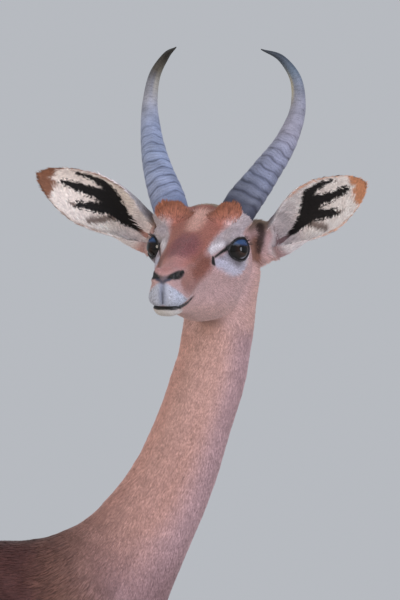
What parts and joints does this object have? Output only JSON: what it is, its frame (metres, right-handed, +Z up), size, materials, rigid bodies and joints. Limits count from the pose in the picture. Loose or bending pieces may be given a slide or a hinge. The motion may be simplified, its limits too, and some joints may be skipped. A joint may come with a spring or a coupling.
{
  "type": "gerenuk",
  "caption": "Life-size standing gerenuk buck with a long thin neck, head turned over its right shoulder, lyre-shaped horns and big patterned ears.",
  "frame": {"origin": "on the ground, under the middle of the whole model's box", "axes": "+X the way the body faces, +Y the animal's left, +Z up; the head is turned to look along -Y"},
  "size_m": [1.1047, 0.3317, 1.4724],
  "materials": {
    "coat": "short matt hair",
    "tail_hair": "coarse dark hair",
    "horn": "ridged grey horn, smooth and dark towards the tips",
    "hoof": "smooth dark hoof",
    "eye": "wet and very glossy"
  },
  "bodies": {
    "root": {"torso": "coat", "neck": "coat", "head": "coat", "tail": "tail_hair", "ear_left": "coat", "eye_left": "eye", "horn_left": "horn", "ear_right": "coat", "eye_right": "eye", "horn_right": "horn", "fore_left_upper_leg": "coat", "fore_left_lower_leg": "coat", "fore_left_hoof_inner": "hoof", "fore_left_hoof_outer": "hoof", "fore_right_upper_leg": "coat", "fore_right_lower_leg": "coat", "fore_right_hoof_inner": "hoof", "fore_right_hoof_outer": "hoof", "hind_left_upper_leg": "coat", "hind_left_lower_leg": "coat", "hind_left_hoof_inner": "hoof", "hind_left_hoof_outer": "hoof", "hind_right_upper_leg": "coat", "hind_right_lower_leg": "coat", "hind_right_hoof_inner": "hoof", "hind_right_hoof_outer": "hoof"}
  },
  "joints": []
}
